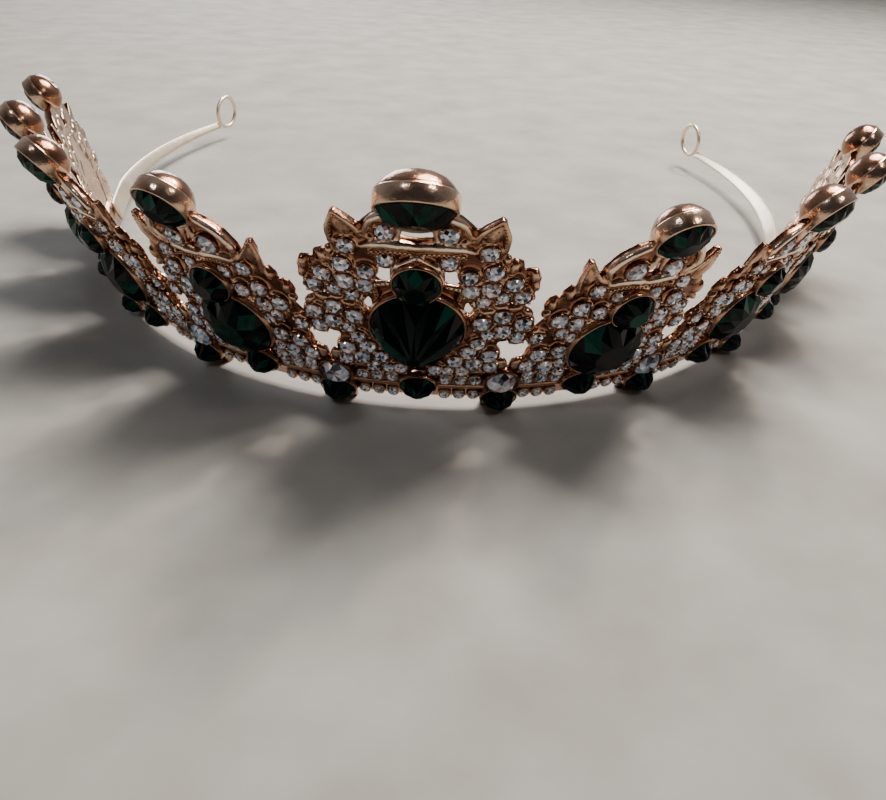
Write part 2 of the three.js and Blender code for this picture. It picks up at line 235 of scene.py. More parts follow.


# %% [markdown]
# ## Finishes
# Costume tiaras are cast in a soft alloy and plated. Each casting keeps its relief, the height of every
# point over the back of the wall, as an attribute, relief_shade; some parts set it to a value of their
# own. The metal reads it through a ramp. The middle is the plating's own warm rose colour, low values
# paint shade, near black brown, into the hollows, and high values paint a pale highlight on the raised
# parts.

# %% Node helpers
def new_material(name):
    finish = bpy.data.materials.new(name)
    finish.use_nodes = True
    return finish, finish.node_tree.nodes, finish.node_tree.links


def set_inputs(node, values):
    for label, value in values.items():
        node.inputs[label].default_value = value


def ramp_node(nodes, stops):
    node = nodes.new("ShaderNodeValToRGB")
    ramp = node.color_ramp
    while len(ramp.elements) < len(stops):
        ramp.elements.new(0.5)
    for element, (place, colour) in zip(ramp.elements, stops):
        element.position = place
        element.color = (*colour, 1)
    return node


def noise_node(nodes, links, scale, detail=2.0):
    where = nodes.new("ShaderNodeTexCoord")
    noise = nodes.new("ShaderNodeTexNoise")
    set_inputs(noise, {"Scale": scale, "Detail": detail})
    links.new(where.outputs["Object"], noise.inputs["Vector"])
    return noise


def attribute_value(nodes, label):
    node = nodes.new("ShaderNodeAttribute")
    node.attribute_name = label
    return node.outputs["Fac"]


def blend_value(nodes, links, value, share, base):
    """The value times the share, plus the base, which is a socket or a number."""
    blend = nodes.new("ShaderNodeMath")
    blend.operation = "MULTIPLY_ADD"
    links.new(value, blend.inputs[0])
    blend.inputs[1].default_value = share
    if isinstance(base, float):
        blend.inputs[2].default_value = base
    else:
        links.new(base, blend.inputs[2])
    return blend.outputs["Value"]


def add_bump(nodes, links, height, shader, strength, distance):
    bump = nodes.new("ShaderNodeBump")
    set_inputs(bump, {"Strength": strength, "Distance": distance})
    links.new(height, bump.inputs["Height"])
    links.new(bump.outputs["Normal"], shader.inputs["Normal"])


def plating(name, stops, rough, grit, relief_shade=True):
    """Plated metal whose colour follows relief_shade, with a mottle, fine pitting and slow waves.

    The stops run from painted shade in the hollows, through the plating's own colour, to a painted
    highlight on the raised parts. Rough is a range, and grit is how strong the pits are.
    """
    finish, nodes, links = new_material(name)
    shader = nodes["Principled BSDF"]
    shader.inputs["Metallic"].default_value = 1.0
    mottle = noise_node(nodes, links, 420.0, 3.0)
    # relief_shade paints shade low down and highlight high up; without it the metal takes a fixed middle
    # value.
    height = attribute_value(nodes, "relief_shade") if relief_shade else 0.6
    blend = blend_value(nodes, links, mottle.outputs["Fac"], 0.28, height)
    colour = ramp_node(nodes, stops)
    links.new(blend, colour.inputs["Fac"])
    links.new(colour.outputs["Color"], shader.inputs["Base Color"])
    shine = nodes.new("ShaderNodeMapRange")
    set_inputs(shine, {"To Min": rough[0], "To Max": rough[1]})
    links.new(mottle.outputs["Fac"], shine.inputs["Value"])
    links.new(shine.outputs["Result"], shader.inputs["Roughness"])
    grain = noise_node(nodes, links, 1600.0, 2.0)
    wave = noise_node(nodes, links, 300.0, 1.0)
    surface = blend_value(nodes, links, wave.outputs["Fac"], 1.6, grain.outputs["Fac"])
    add_bump(nodes, links, surface, shader, grit, 0.00012)
    return finish


# %% Metals
rose_gold = plating(
    "rose_gold_plating",
    [
        (0.36, (0.050, 0.016, 0.009)),
        (0.62, (0.23, 0.098, 0.056)),
        (0.82, (0.54, 0.315, 0.20)),
        (1.0, (0.95, 0.73, 0.55)),
    ],
    (0.10, 0.30),
    0.42,
)
pale_gold = plating(
    "pale_gold_plating",
    [(0.2, (0.66, 0.49, 0.35)), (0.9, (0.94, 0.80, 0.64))],
    (0.30, 0.42),
    0.15,
    relief_shade=False,
)
print("metals:", rose_gold.name, "and", pale_gold.name)


# %% [markdown]
# The stones are glass with a mirror foil behind them, so their light comes back from the facets
# of the pavilion. That light is painted: each facet gets its own random number, "flash", and a
# ramp turns it into a painted reflection colour. On the green stones only a narrow part of that
# range is a bright painted flash. On the clear ones most of it is painted bright, and some is painted
# dark or tinted. That is what makes a cut stone look cut.

# %% Stones
def cut_glass(name, stops, metallic, rough, gloss, painted_glow=0.0):
    """Glass over foil. Stops paint the facets' reflections by their flash, and painted_glow makes that
    painted colour glow as emission, though the stone is no lamp.
    """
    finish, nodes, links = new_material(name)
    shader = nodes["Principled BSDF"]
    set_inputs(shader, {"Metallic": metallic, "Roughness": rough, "IOR": 1.55})
    set_inputs(shader, {"Specular IOR Level": gloss, "Coat Weight": gloss, "Coat Roughness": 0.02})
    cloud = noise_node(nodes, links, 900.0, 1.0)
    mix = blend_value(nodes, links, cloud.outputs["Fac"], 0.2, attribute_value(nodes, "flash"))
    colour = ramp_node(nodes, stops)
    links.new(mix, colour.inputs["Fac"])
    links.new(colour.outputs["Color"], shader.inputs["Base Color"])
    if painted_glow:
        links.new(colour.outputs["Color"], shader.inputs["Emission Color"])
        shader.inputs["Emission Strength"].default_value = painted_glow
    return finish


# Most facets are painted near black, and the top of the flash range is a painted green reflection.
green_glass = cut_glass(
    "deep_green_glass",
    [
        (0.0, (0.0004, 0.0022, 0.0026)),
        (0.76, (0.0005, 0.0030, 0.0032)),
        (0.92, (0.001, 0.011, 0.008)),
        (1.0, (0.002, 0.050, 0.032)),
    ],
    0.0,
    0.10,
    0.08,
)
# The facets are painted reflections: black, grey blue, white, pink and dark. The last number makes that
# painted colour glow a little.
clear_glass = cut_glass(
    "clear_foiled_glass",
    [
        (0.16, (0.012, 0.010, 0.012)),
        (0.30, (0.085, 0.095, 0.12)),
        (0.42, (0.36, 0.42, 0.52)),
        (0.54, (0.55, 0.70, 0.90)),
        (0.66, (0.88, 0.90, 0.94)),
        (0.78, (0.82, 0.60, 0.58)),
        (0.88, (0.24, 0.20, 0.20)),
        (1.0, (1.0, 1.0, 1.0)),
    ],
    0.45,
    0.05,
    0.9,
    0.10,
)
print("glass:", green_glass.name, "and", clear_glass.name)

# %% [markdown]
# ## Drawing the castings
# A casting has no separate parts: its petals, ridges and seats run into each other with soft
# corners, because it was carved in wax first. Simple shapes are laid over each other, flat. A
# voxel remesh then melts them into one skin, which gives the same soft corners.
#
# Heights up the wall and widths are given as shares of the pitch between two motifs, because
# that is how the pattern was laid out. A small class collects the shapes.


# %% Rings of points, and the faces between them
def circle(radius, z, count, start=0.0):
    turns = [start + 2 * math.pi * k / count for k in range(count)]
    return [(radius * math.cos(a), radius * math.sin(a), z) for a in turns]


def ring_faces(rings, sides, closed=False, first=0):
    """Quads between rings of points. A closed chain joins the last ring to the first."""
    faces = []
    for r in range(rings if closed else rings - 1):
        low, high = first + r * sides, first + (r + 1) % rings * sides
        for k in range(sides):
            n = (k + 1) % sides
            faces.append([low + k, low + n, high + n, high + k])
    return faces


def append_shape(points, faces, more_points, more_faces):
    first = len(points)
    points.extend(more_points)
    faces.extend([first + i for i in face] for face in more_faces)


# %% Wax shapes
PETAL_FOOT = 0.3


class Wax:
    """Closed shapes that overlap, drawn flat in millimetres."""

    def __init__(self):
        self.points, self.faces = [], []

    def add(self, points, faces):
        append_shape(self.points, self.faces, [tuple(p) for p in points], faces)

    def lathe(self, centre, rings, sides=16, stretch=(1, 1), turn=0.0):
        """Rings of (radius, off), closed by a point below and above."""
        points = [(0, 0, rings[0][1])]
        for radius, off in rings:
            points += circle(radius, off, sides)
        points.append((0, 0, rings[-1][1]))
        last = len(points) - 1
        faces = [[0, 1 + (k + 1) % sides, 1 + k] for k in range(sides)]
        faces += ring_faces(len(rings), sides, first=1)
        top = 1 + (len(rings) - 1) * sides
        faces += [[top + k, top + (k + 1) % sides, last] for k in range(sides)]
        c, s = math.cos(turn), math.sin(turn)
        placed = []
        for x, y, z in points:
            x, y = x * stretch[0], y * stretch[1]
            placed.append((centre[0] + c * x - s * y, centre[1] + s * x + c * y, z))
        self.add(placed, faces)

    def petal(self, centre, length, width, rise, turn=0.0):
        """A rounded pad, like a split almond. Its lowest point is inside the plate."""
        rings = []
        for k in range(1, 8):
            a = math.pi * (k / 8 - 0.5)
            rings.append((math.cos(a), PETAL_FOOT + rise * (math.sin(a) + 1) / 2))
        self.lathe(centre, rings, 18, (length, width), turn)

    def ridge(self, path, radius, off):
        """A round wire along a path. Its radius and height go through the values given."""
        path = [np.array(p, float) for p in path]
        steps = smooth_path(path, 6)
        share = np.linspace(0, 1, len(steps))
        radii = np.interp(share, np.linspace(0, 1, len(radius)), radius)
        offs = np.interp(share, np.linspace(0, 1, len(off)), off)
        sides = 8
        points = []
        for i, here in enumerate(steps):
            before, after = steps[max(i - 1, 0)], steps[min(i + 1, len(steps) - 1)]
            along = (after - before) / (np.linalg.norm(after - before) + 1e-9)
            side = np.array([-along[1], along[0]])
            for k in range(sides):
                a = 2 * math.pi * k / sides
                flat = here + side * radii[i] * math.cos(a)
                points.append((flat[0], flat[1], offs[i] + radii[i] * math.sin(a)))
        faces = ring_faces(len(steps), sides)
        end = len(points) - sides
        faces.append(list(range(sides))[::-1])
        faces.append([end + k for k in range(sides)])
        self.add(points, faces)
        for i in (0, -1):
            ball = [(radii[i] * math.cos(a), offs[i] + radii[i] * math.sin(a))
                    for a in np.linspace(-1.4, 1.4, 6)]
            self.lathe(steps[i], ball, 8)


def smooth_path(path, per):
    """A Catmull-Rom line through the points."""
    if len(path) == 2:
        return [path[0] + (path[1] - path[0]) * t for t in np.linspace(0, 1, per)]
    full = [2 * path[0] - path[1], *path, 2 * path[-1] - path[-2]]
    out = []
    for i in range(1, len(full) - 2):
        a, b, c, d = full[i - 1 : i + 3]
        for t in np.linspace(0, 1, per, endpoint=False):
            out.append(
                0.5 * (2 * b + (c - a) * t + (2 * a - 5 * b + 4 * c - d) * t * t
                       + (3 * b - a - 3 * c + d) * t**3)
            )
    out.append(path[-1])
    return out


def flat_slab(outline, holes, low, high):
    """A filled outline with holes, as a closed plate. Curves fill holes without a boolean."""
    drawing = bpy.data.curves.new("slab", "CURVE")
    drawing.dimensions = "2D"
    drawing.fill_mode = "BOTH"
    drawing.extrude = (high - low) / 2
    for loop in [outline, *holes]:
        line = drawing.splines.new("POLY")
        line.points.add(len(loop) - 1)
        for point, (x, y) in zip(line.points, loop):
            point.co = (x, y, 0, 1)
        line.use_cyclic_u = True
    holder = bpy.data.objects.new("slab", drawing)
    bpy.context.collection.objects.link(holder)
    mesh = plain_mesh(holder)
    bpy.data.objects.remove(holder)
    points = [(v.co.x, v.co.y, v.co.z + (high + low) / 2) for v in mesh.vertices]
    faces = [list(p.vertices) for p in mesh.polygons]
    return points, faces


def plain_mesh(holder):
    """What an object looks like once its modifiers have run, as a mesh of its own."""
    depsgraph = bpy.context.evaluated_depsgraph_get()
    return bpy.data.meshes.new_from_object(holder.evaluated_get(depsgraph))


def melted(wax, name, voxel):
    """The wax shapes as one skin: arrays of points and of faces."""
    mesh = bpy.data.meshes.new(name)
    mesh.from_pydata(wax.points, [], wax.faces)
    clean = bmesh.new()
    clean.from_mesh(mesh)
    bmesh.ops.remove_doubles(clean, verts=clean.verts, dist=1e-5)
    bmesh.ops.recalc_face_normals(clean, faces=clean.faces)
    clean.to_mesh(mesh)
    clean.free()
    holder = bpy.data.objects.new(name, mesh)
    bpy.context.collection.objects.link(holder)
    melt = holder.modifiers.new("melt", "REMESH")
    melt.mode = "VOXEL"
    melt.voxel_size = voxel
    ease = holder.modifiers.new("ease", "SMOOTH")
    ease.factor = 0.5
    ease.iterations = 2
    skin = plain_mesh(holder)
    bpy.data.objects.remove(holder)
    count = len(skin.vertices)
    points = np.empty(count * 3)
    skin.vertices.foreach_get("co", points)
    faces = [list(p.vertices) for p in skin.polygons]
    print(name, "wax:", count, "points")
    return points.reshape(-1, 3), faces


# %% [markdown]
# The layouts. Each clear stone is a place across and up, and a radius. They sit in flower-like
# clusters on each side of the big green stone, and thin out towards the tips.

# %% Stone layouts
FRONT_STONES = [
    (0.373, 1.350, 0.052), (0.167, 1.269, 0.048), (0.409, 1.208, 0.055), (0.276, 1.165, 0.050),
    (0.522, 1.118, 0.052), (0.397, 1.079, 0.058), (0.290, 1.060, 0.052), (0.575, 1.018, 0.050),
    (0.462, 1.012, 0.044), (0.362, 0.973, 0.042), (0.478, 0.853, 0.055), (0.602, 0.789, 0.055),
    (0.362, 0.792, 0.055), (0.488, 0.726, 0.056), (0.575, 0.672, 0.050), (0.400, 0.690, 0.042),
    (0.350, 0.610, 0.048), (0.425, 0.498, 0.055), (0.298, 0.530, 0.055), (0.335, 0.418, 0.055),
    (0.438, 0.390, 0.048), (0.222, 0.442, 0.050), (0.270, 0.352, 0.046), (0.105, 0.350, 0.045),
    (0.165, 1.470, 0.055), (0.180, 0.345, 0.040),
]
SIDE_STONES = [
    (0.120, 1.180, 0.064), (0.280, 1.040, 0.050), (0.115, 0.975, 0.050), (0.310, 0.895, 0.055),
    (0.178, 0.850, 0.052), (0.402, 0.800, 0.055), (0.285, 0.765, 0.056), (0.335, 0.690, 0.045),
    (0.262, 0.640, 0.042), (0.480, 0.655, 0.045), (0.405, 0.492, 0.055), (0.285, 0.515, 0.055),
    (0.440, 0.388, 0.050), (0.320, 0.382, 0.055), (0.395, 0.298, 0.042), (0.235, 0.405, 0.042),
    (0.205, 0.318, 0.045), (0.300, 0.300, 0.040),
]
print("clear stones on one half:", len(FRONT_STONES), "front,", len(SIDE_STONES), "side")


# %% Outlines
def mirrored_outline(half):
    right_half = [np.array(p) * PITCH for p in half]
    left_half = [p * (-1, 1) for p in right_half[::-1]]
    return [tuple(p) for p in right_half + left_half]


def ellipse(u, v, a, b, sides=20):
    ring = [2 * math.pi * k / sides for k in range(sides)]
    return [((u + a * math.cos(t)) * PITCH, (v + b * math.sin(t)) * PITCH) for t in ring]


FRONT_HALF = [
    (0.53, 0.305), (0.535, 0.42), (0.475, 0.44), (0.465, 0.52), (0.475, 0.60), (0.55, 0.61),
    (0.625, 0.635), (0.665, 0.72), (0.665, 0.80), (0.635, 0.87), (0.60, 0.92), (0.52, 0.935),
    (0.44, 0.93), (0.50, 0.95), (0.575, 0.955), (0.635, 0.99), (0.668, 1.07), (0.672, 1.15),
    (0.65, 1.21), (0.60, 1.21), (0.575, 1.20), (0.565, 1.26), (0.52, 1.285), (0.475, 1.265),
    (0.465, 1.30), (0.455, 1.40), (0.462, 1.47), (0.45, 1.55), (0.425, 1.575), (0.36, 1.53),
    (0.305, 1.485), (0.255, 1.54), (0.19, 1.60), (0.10, 1.62),
]
SIDE_HALF = [
    (0.53, 0.305), (0.535, 0.42), (0.475, 0.44), (0.465, 0.52), (0.475, 0.595), (0.515, 0.62),
    (0.525, 0.68), (0.50, 0.74), (0.475, 0.79), (0.50, 0.84), (0.53, 0.90), (0.52, 0.965),
    (0.485, 0.985), (0.455, 0.955), (0.46, 1.02), (0.435, 1.065), (0.385, 1.035), (0.405, 1.12),
    (0.432, 1.20), (0.432, 1.265), (0.395, 1.255), (0.34, 1.18), (0.305, 1.14), (0.305, 1.20),
    (0.265, 1.29), (0.19, 1.35), (0.09, 1.38),
]
print("outline points on one half:", len(FRONT_HALF), "front,", len(SIDE_HALF), "side")

# %% [markdown]
# The front casting is drawn once, and one side casting is drawn once. All eight side castings
# are cast from it, so one drawing serves them all.


# %% Draw a casting in wax
PLATE_BACK, PLATE_FACE = 0.32, 0.95


def draw_stone_seats(wax, stones):
    """A boss under each clear stone. It goes right through the plate, and shows behind it."""
    for u, v, r in stones:
        seat = r * PITCH
        rings = [
            (seat * 0.9, 0.06), (seat + 0.25, 0.12), (seat + 0.40, 0.5),
            (seat + 0.40, 1.05), (seat + 0.22, 1.42), (seat, 1.42),
        ]
        for side in (-1, 1):
            wax.lathe((side * u * PITCH, v * PITCH), rings, 16)


def both_sides(draw):
    for side in (-1, 1):
        draw(side)


def at(side, *pairs):
    return [(side * u * PITCH, v * PITCH) for u, v in pairs]


def draw_leaf(wax, side, outline_left, outline_right):
    """A pointed leaf with a raised edge on both sides."""
    wax.ridge(at(side, *outline_left), [0.42, 0.36, 0.30], [1.0, 1.25, 1.1])
    wax.ridge(at(side, *outline_right), [0.42, 0.36, 0.30], [1.0, 1.25, 1.1])


def front_wax():
    wax = Wax()
    holes = [ellipse(0, 1.440, 0.115, 0.034)]
    for side in (-1, 1):
        holes.append(ellipse(side * 0.190, 1.155, 0.058, 0.088))
        holes.append(ellipse(side * 0.285, 0.890, 0.024, 0.055))
    wax.add(*flat_slab(mirrored_outline(FRONT_HALF), holes, PLATE_BACK, PLATE_FACE))
    draw_stone_seats(wax, FRONT_STONES)
    wax.lathe((0, 16.9), [(6.2, 0.2), (6.2, 1.2), (5.8, 1.5), (5.6, 1.5)], 40)
    wax.lathe((0, 25.0), [(3.05, 0.2), (3.05, 1.5), (2.7, 1.9), (2.4, 1.9)], 28)

    def half(side):
        # the arch bar and the beaded gable under it
        wax.ridge(at(side, (0.0, 1.372), (0.10, 1.392), (0.20, 1.388), (0.29, 1.345)),
                  [0.50, 0.62, 0.60, 0.40], [1.3, 1.6, 1.55, 1.1])
        wax.ridge(at(side, (0.0, 1.318), (0.12, 1.325), (0.25, 1.315)), [0.3, 0.3], [1.2, 1.2])
        wax.ridge(at(side, (0.0, 1.305), (0.06, 1.262), (0.125, 1.215), (0.135, 1.13)),
                  [0.42, 0.40, 0.34], [1.5, 1.5, 1.2])
        # the arms that carry the top cup
        wax.ridge(at(side, (0.27, 1.45), (0.23, 1.54), (0.15, 1.59), (0.07, 1.60)),
                  [0.40, 0.55, 0.55], [1.1, 1.4, 1.4])
        wax.ridge(at(side, (0.27, 1.42), (0.18, 1.405), (0.10, 1.44), (0.10, 1.56)),
                  [0.34, 0.36, 0.36], [1.1, 1.25, 1.3])
        # the pointed leaf tip
        draw_leaf(wax, side, [(0.455, 1.36), (0.462, 1.46), (0.43, 1.56)],
                  [(0.30, 1.42), (0.34, 1.50), (0.425, 1.565)])
        wax.petal(at(side, (0.395, 1.475))[0], 1.9, 1.0, 1.15, side * 1.1)
        # petals along the outer edge
        for u, v, a, b, turn in (
            (0.512, 1.235, 1.15, 0.62, 1.2), (0.470, 1.290, 0.75, 0.5, 1.2),
            (0.632, 1.165, 1.05, 0.62, 1.5), (0.645, 1.09, 0.95, 0.55, 1.75),
            (0.625, 1.010, 0.9, 0.5, 2.3), (0.548, 0.912, 1.1, 0.6, 0.3),
            (0.460, 0.925, 1.0, 0.45, 0.05), (0.625, 0.868, 0.9, 0.6, -0.7),
            (0.655, 0.750, 0.8, 0.5, 1.5), (0.385, 0.880, 0.9, 0.5, 0.2),
        ):
            wax.petal(at(side, (u, v))[0], a, b, 1.25, side * turn)
        # the scroll at each side of the big stone's foot
        wax.ridge(at(side, (0.30, 0.95), (0.335, 0.90), (0.30, 0.84)), [0.4, 0.4], [1.2, 1.2])
        wax.ridge(at(side, (0.160, 1.09), (0.235, 1.06), (0.225, 0.98)), [0.42, 0.4], [1.3, 1.2])
        wax.ridge(at(side, (0.53, 0.33), (0.40, 0.325), (0.20, 0.315), (0.05, 0.31)),
                  [0.34, 0.34], [1.0, 1.0])
        wax.petal(at(side, (0.51, 0.395))[0], 0.8, 1.3, 1.35, 0)

    both_sides(half)
    return wax


def side_wax():
    wax = Wax()
    keyhole = ((-0.062, 1.130), (0.062, 1.130), (0.035, 1.18), (0.0, 1.235), (-0.035, 1.18))
    holes = [[(u * PITCH, v * PITCH) for u, v in keyhole]]
    wax.add(*flat_slab(mirrored_outline(SIDE_HALF), holes, PLATE_BACK, PLATE_FACE))
    draw_stone_seats(wax, SIDE_STONES)
    wax.lathe((0, 12.0), [(5.6, 0.2), (5.6, 1.2), (5.2, 1.5), (5.0, 1.5)], 40)
    wax.lathe((0, 19.7), [(3.05, 0.2), (3.05, 1.5), (2.7, 1.9), (2.3, 1.9)], 28)

    def half(side):
        wax.ridge(at(side, (0.0, 1.075), (0.06, 1.105), (0.14, 1.112), (0.24, 1.065)),
                  [0.42, 0.62, 0.60, 0.36], [1.3, 1.6, 1.55, 1.1])
        wax.ridge(at(side, (0.0, 1.035), (0.12, 1.045), (0.23, 1.015)), [0.3, 0.3], [1.2, 1.2])
        wax.ridge(at(side, (0.0, 1.01), (0.07, 0.965), (0.145, 0.90)), [0.36, 0.34], [1.3, 1.3])
        wax.ridge(at(side, (0.245, 1.12), (0.285, 1.20), (0.235, 1.30), (0.12, 1.365)),
                  [0.40, 0.56, 0.56, 0.5], [1.1, 1.4, 1.4, 1.3])
        wax.ridge(at(side, (0.09, 1.12), (0.035, 1.20), (0.035, 1.30), (0.05, 1.36)),
                  [0.34, 0.40, 0.40], [1.1, 1.3, 1.3])
        draw_leaf(wax, side, [(0.39, 1.03), (0.425, 1.13), (0.425, 1.25)],
                  [(0.225, 1.08), (0.31, 1.13), (0.415, 1.255)])
        wax.petal(at(side, (0.375, 1.15))[0], 1.9, 0.95, 1.15, side * 1.15)
        for u, v, a, b, turn in (
            (0.425, 1.010, 1.05, 0.55, 1.5), (0.495, 0.925, 1.05, 0.6, 1.3),
            (0.500, 0.855, 0.7, 0.5, 2.2), (0.505, 0.700, 0.8, 0.5, 1.9),
        ):
            wax.petal(at(side, (u, v))[0], a, b, 1.25, side * turn)
        wax.ridge(at(side, (0.155, 0.80), (0.23, 0.72), (0.245, 0.62)), [0.4, 0.4], [1.2, 1.2])
        wax.ridge(at(side, (0.53, 0.33), (0.40, 0.325), (0.24, 0.315)), [0.34, 0.34], [1.0, 1.0])
        wax.petal(at(side, (0.51, 0.395))[0], 0.8, 1.3, 1.35, 0)

    both_sides(half)
    return wax


VOXEL = 0.18
front_skin = melted(front_wax(), "front", VOXEL)
side_skin = melted(side_wax(), "side", VOXEL)

# %% [markdown]
# ## Bending the castings, and adding their cups
# Each flat skin is bent round the wall. The outer motifs are a little lower than the first, as
# on the frame. The cup of a top stone is turned on a lathe and joined to its casting: it is a
# smooth tub with a wide band round its mouth, and it looks down and forward.

# %% Sizes of the stones and cups
OUTER_SCALE = [1, 1, 0.92, 0.87, 0.83]
FRONT_HEIGHT, SIDE_HEIGHT = 34, 30
CUP_FRONT, CUP_SINK, CUP_DEPTH = 2.7, 2.1, 4.4
FRONT_CUP_TILT, SIDE_CUP_TILT = 34, 14
CUP_SIDES = 56
BASE_AT, BETWEEN_AT = 4.6, 2.3
BASE_HALF_WIDE, BASE_HALF_TALL = 2.5, 1.9
FRONT_BIG_AT, FRONT_BIG_HALF, SIDE_BIG_HALF = 16.9, 6.0, 5.4
SMALL_HALF, SMALL_LAP, STONE_GAP = 2.9, 0.75, 0.12
ON_FACE = 1.5  # how far out of the wall's back the green stones sit
print("outer motifs are lower:", OUTER_SCALE)


def motif_name(motif):
    if motif == 0:
        return "front"
    return ("left_" if motif > 0 else "right_") + str(abs(motif))


def cup_radius(motif):
    return 4.8 if motif == 0 else 3.8


def squeezed(motif, h):
    """Height on an outer motif, for a height on the first one: only what is over the band shrinks."""
    scale = OUTER_SCALE[abs(motif)]
    return np.where(h > BAND_TOP, BAND_TOP + (h - BAND_TOP) * scale, h)


def cup_place(motif, forward=0.0):
    top = FRONT_HEIGHT if motif == 0 else float(squeezed(motif, SIDE_HEIGHT))
    tilt = FRONT_CUP_TILT if motif == 0 else SIDE_CUP_TILT
    h = top + cup_radius(motif) - CUP_SINK
    matrix = wall_matrix(along_foot(motif, 0, h), h, CUP_FRONT, tilt)
    return matrix @ Matrix.Translation((0, 0, forward * MM))


# %% Turned shapes
def turned(rings, sides, matrix, stretch=1.0):
    """A closed shape on a lathe, in metres, from (radius, height) pairs in millimetres."""
    flat = [p for radius, z in rings for p in circle(radius, z, sides)]
    points = [matrix @ (Vector((x, y * stretch, z)) * MM) for x, y, z in flat]
    return points, ring_faces(len(rings), sides, closed=True)


def cup_rings(radius):
    """The tub's section, from its middle behind, round the dome and rim, to its middle inside."""
    radius *= 0.985
    inner = radius - 0.40
    outside = [
        (0.02, -CUP_DEPTH), (radius * 0.28, -CUP_DEPTH * 0.98), (radius * 0.52, -CUP_DEPTH * 0.91),
        (radius * 0.72, -CUP_DEPTH * 0.80), (radius * 0.86, -CUP_DEPTH * 0.65),
        (radius * 0.92, -CUP_DEPTH * 0.56), (radius * 0.935, -2.36), (radius * 0.945, -2.20),
        (radius * 0.985, -2.10), (radius, -1.95), (radius, -0.12), (radius - 0.10, 0.0),
    ]
    inside = [(inner + 0.10, 0.0), (inner, -0.12), (inner - 0.05, -0.55), (0.02, -0.60)]
    return outside + inside


# %% Make a mesh into a finished piece
def piece_from(name, points, faces, finish, smooth=True, relief_shade=None, flash=None):
    mesh = bpy.data.meshes.new(name)
    mesh.from_pydata([tuple(p) for p in points], [], faces)
    mesh.validate()
    if relief_shade is not None:
        mesh.attributes.new("relief_shade", "FLOAT", "POINT").data.foreach_set("value", relief_shade)
    if flash is not None:
        mesh.attributes.new("flash", "FLOAT", "FACE").data.foreach_set("value", flash)
    mesh.polygons.foreach_set("use_smooth", [smooth] * len(mesh.polygons))
    return finish_piece(name, mesh, finish)


def finish_piece(name, mesh, finish):
    mesh.materials.clear()
    mesh.materials.append(finish)
    holder = bpy.data.objects.new(name, mesh)
    bpy.context.collection.objects.link(holder)
    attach(holder, BODY)
    return holder


# %% Bend and finish all nine castings
# The back is lit from behind, so its plating gets a lighter painted backlight. A back is all that is
# under its height.
PAINTED_BACKLIGHT, CASTING_BACK, BAND_BACK = 0.72, 0.45, 0.3
FULL_RELIEF = 2.0
DOME_RINGS, DOME_SHADE, RIM_HIGHLIGHT = 8, 0.52, 0.74
for motif in MOTIFS:
    flat, skin_faces = front_skin if motif == 0 else side_skin
    h = squeezed(motif, flat[:, 1])
    bent = on_wall(along_foot(motif, flat[:, 0], h), h, flat[:, 2]) + (0, SHIFT, 0)
    points = [Vector(p) * MM for p in bent]
    # The front takes its relief as painted shade low down and painted highlight high up.
    front_relief = np.clip(flat[:, 2] / FULL_RELIEF, 0, 1)
    relief_shade = list(np.where(flat[:, 2] < CASTING_BACK, PAINTED_BACKLIGHT, front_relief))
    tub = cup_rings(cup_radius(motif))
    faces = list(skin_faces)
    append_shape(points, faces, *turned(tub, CUP_SIDES, cup_place(motif)))
    # The cup's dome gets painted shade, and its rim and mouth a painted highlight.
    for ring in range(len(tub)):
        relief_shade += [DOME_SHADE if ring < DOME_RINGS else RIM_HIGHLIGHT] * CUP_SIDES
    name = motif_name(motif) + "_openwork"
    casting = piece_from(name, points, faces, rose_gold, relief_shade=relief_shade)
    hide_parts(motif_name(motif) + "_casting")
print("castings bent:", 2 * SIDE_MOTIFS + 1)

# %% [markdown]
# ## Cutting the green stones
# A brilliant cut has a small flat table, then kite facets and star facets down to the girdle.
# The front stone has a tall, pointed crown, and the side stones have low ones with a wide table.
# One cutter makes them all. Faces stay flat, so each one catches the light by itself.


# %% The cutter
def brilliant(sides, table, crown, girdle, dip=0.0, mid=0.62):
    """A stone of radius 1 with its back at zero. Its faces point outwards.

    The table is a radius, the crown and the girdle are heights, and mid is the share of the crown
    at which its facets meet. A dip makes the table a shallow hollow.
    """
    half = math.pi / sides
    mid_radius = (1 + table) / 2 + 0.09
    points = []

    def ring(radius, z, count, start=0.0):
        points.extend(circle(radius, z, count, start))
        return len(points) - count

    low = ring(0.97, 0.0, 2 * sides)
    edge = ring(1.0, girdle, 2 * sides)
    middle = ring(mid_radius, girdle + crown * mid, sides, half)
    top = ring(table, girdle + crown, sides)
    points.append((0, 0, girdle + crown - dip))
    centre = len(points) - 1
    faces = [[low + k for k in range(2 * sides)][::-1]]
    for k in range(2 * sides):
        n = (k + 1) % (2 * sides)
        faces.append([low + k, low + n, edge + n, edge + k])
    for k in range(sides):
        n, b = (k + 1) % sides, (k - 1) % sides
        faces.append([top + k, middle + b, edge + 2 * k, middle + k])
        faces.append([top + k, middle + k, top + n])
        faces.append([middle + k, edge + 2 * k, edge + 2 * k + 1])
        faces.append([middle + k, edge + 2 * k + 1, edge + (2 * k + 2) % (2 * sides)])
        if dip:
            faces.append([top + k, top + n, centre])
    if not dip:
        faces.append([top + k for k in range(sides)])
        points.pop()
    return points, faces


dice = np.random.default_rng(7)


def set_stones(name, places, cut, nodes):
    """Green stones of one kind as one piece. A place is (matrix, half width, half height)."""
    points, faces = [], []
    cut_points, cut_faces = cut
    for matrix, wide, tall in places:
        placed = [matrix @ (Vector((x * wide, y * tall, z * wide)) * MM) for x, y, z in cut_points]
        append_shape(points, faces, placed, cut_faces)
    flash = list(dice.random(len(faces)))
    stones = piece_from(name, points, faces, green_glass, smooth=False, flash=flash)
    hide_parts(*nodes)
    print(name, len(places), "stones")


